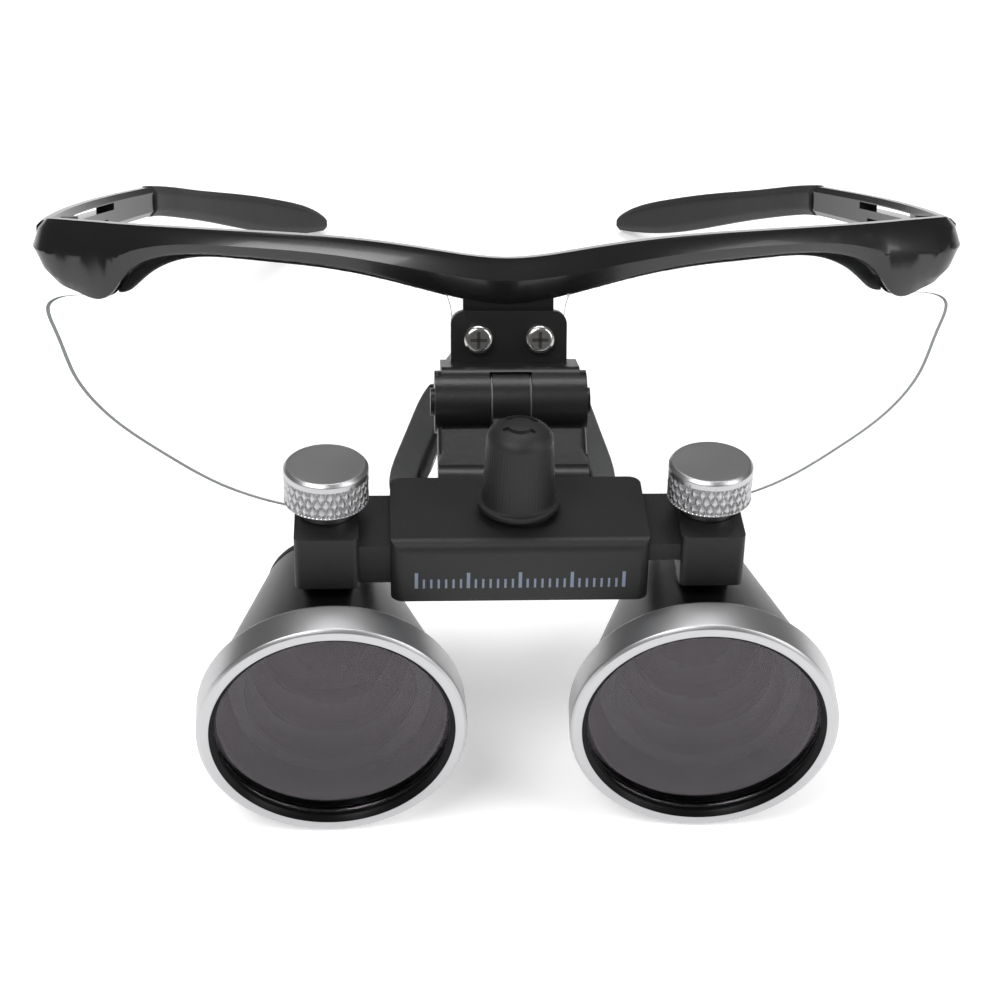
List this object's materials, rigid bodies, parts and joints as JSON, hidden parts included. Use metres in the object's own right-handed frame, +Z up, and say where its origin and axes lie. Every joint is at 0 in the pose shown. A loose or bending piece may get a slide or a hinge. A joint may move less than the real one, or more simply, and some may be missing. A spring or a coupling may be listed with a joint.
{
  "type": "dental loupes",
  "caption": "Wrap spectacles with a flip-up pair of cone telescopes on a sliding rail, for close dental work. Temples fold, telescopes flip, tilt, slide and swivel.",
  "frame": {"origin": "middle of the footprint on the table, under the loupes standing on both objective rings and both ear socks", "axes": "+X to the viewer's right across the face, +Y from the telescopes back to the ear socks, +Z up from the table. Node names use left for the -X side."},
  "size_m": [0.1492, 0.184, 0.0674],
  "materials": {
    "frame_gloss": "satin-gloss injection moulded",
    "liner_matte": "matte",
    "clear_lens": "clear, polished",
    "sock_rubber": "matte",
    "saddle_plastic": "satin",
    "pad_rubber": "matte",
    "bracket_black": "satin black",
    "screw_steel": "plain",
    "washer_polymer": "natural",
    "rail_matte": "fine matte",
    "brass_gear": "machined",
    "knob_rubber": "matte",
    "satin_aluminium": "satin",
    "barrel_black": "gloss black",
    "optic_glass": "coated",
    "baffle_black": "matte",
    "eyecup_rubber": "matte"
  },
  "bodies": {
    "spectacle_frame": {"brow_frame": "frame_gloss", "brow_liner": "liner_matte", "lens_left": "clear_lens", "lens_right": "clear_lens", "nose_saddle": "saddle_plastic", "nose_pad_left": "pad_rubber", "nose_pad_right": "pad_rubber", "bridge_bracket": "bracket_black", "bracket_screws": "screw_steel", "backing_plate": "bracket_black", "flip_pin": "bracket_black", "temple_hinge_screw_left": "bracket_black", "temple_hinge_screw_right": "bracket_black"},
    "temple_arm_left": {"temple_left": "frame_gloss", "ear_sock_left": "sock_rubber"},
    "temple_arm_right": {"temple_right": "frame_gloss", "ear_sock_right": "sock_rubber"},
    "link": {"flip_link": "bracket_black", "flip_washers": "washer_polymer"},
    "rail": {"rail_housing": "rail_matte", "rail_base": "rail_matte", "base_screws": "screw_steel", "tilt_pin": "screw_steel", "knob_bush": "rail_matte"},
    "knob": {"pinion_shaft": "brass_gear", "knob_cap": "knob_rubber"},
    "slide_arm_left": {"slide_left": "rail_matte"},
    "thumb_knob_left": {"thumb_screw_left": "satin_aluminium"},
    "telescope_left": {"barrel_saddle_left": "barrel_black", "barrel_shell_left": "barrel_black", "objective_ring_left": "satin_aluminium", "objective_lens_left": "optic_glass", "inner_baffle_left": "baffle_black", "eyepiece_lens_left": "optic_glass", "eyepiece_ring_left": "eyecup_rubber"},
    "slide_arm_right": {"slide_right": "rail_matte"},
    "thumb_knob_right": {"thumb_screw_right": "satin_aluminium"},
    "telescope_right": {"barrel_saddle_right": "barrel_black", "barrel_shell_right": "barrel_black", "objective_ring_right": "satin_aluminium", "objective_lens_right": "optic_glass", "inner_baffle_right": "baffle_black", "eyepiece_lens_right": "optic_glass", "eyepiece_ring_right": "eyecup_rubber"}
  },
  "joints": [
    {"name": "temple_left_fold", "type": "hinge", "parent": "spectacle_frame", "child": "temple_arm_left", "pos_m": [-0.0689, -0.01082, 0.05608], "axis": [0, -0.3907, -0.9205], "range_deg": [0, 72]},
    {"name": "temple_right_fold", "type": "hinge", "parent": "spectacle_frame", "child": "temple_arm_right", "pos_m": [0.0689, -0.01082, 0.05608], "axis": [0, 0.3907, 0.9205], "range_deg": [0, 60]},
    {"name": "loupe_flip", "type": "hinge", "parent": "spectacle_frame", "child": "link", "pos_m": [0, -0.04848, 0.0485], "axis": [-1, 0, 0], "range_deg": [0, 75]},
    {"name": "declination_tilt", "type": "hinge", "parent": "link", "child": "rail", "pos_m": [0, -0.0614, 0.04242], "axis": [-1, 0, 0], "range_deg": [-8, 8]},
    {"name": "pd_slide_left", "type": "slide", "parent": "rail", "child": "slide_arm_left", "axis": [-1, 0, 0], "range_m": [-0.002, 0.006]},
    {"name": "pd_slide_right", "type": "slide", "parent": "rail", "child": "slide_arm_right", "axis": [1, 0, 0], "range_m": [-0.002, 0.006]},
    {"name": "knob_turn", "type": "hinge", "parent": "rail", "child": "knob", "pos_m": [0, -0.07357, 0.04641], "axis": [0, 0.0645, 0.9979], "range_deg": [-115, 39]},
    {"name": "thumb_turn_left", "type": "hinge", "parent": "slide_arm_left", "child": "thumb_knob_left", "pos_m": [-0.02735, -0.07357, 0.04641], "axis": [0, 0.0645, 0.9979], "range_deg": [-180, 180]},
    {"name": "barrel_swivel_left", "type": "hinge", "parent": "slide_arm_left", "child": "telescope_left", "pos_m": [-0.02735, -0.07357, 0.04641], "axis": [0, 0.0645, 0.9979], "range_deg": [-5, 5]},
    {"name": "thumb_turn_right", "type": "hinge", "parent": "slide_arm_right", "child": "thumb_knob_right", "pos_m": [0.02735, -0.07357, 0.04641], "axis": [0, 0.0645, 0.9979], "range_deg": [-180, 180]},
    {"name": "barrel_swivel_right", "type": "hinge", "parent": "slide_arm_right", "child": "telescope_right", "pos_m": [0.02735, -0.07357, 0.04641], "axis": [0, 0.0645, 0.9979], "range_deg": [-5, 5]}
  ],
  "couplings": [
    {"joint": "pd_slide_right", "follows": "pd_slide_left", "ratio": 1},
    {"joint": "knob_turn", "follows": "pd_slide_left", "rad_per_m": -333.33}
  ]
}
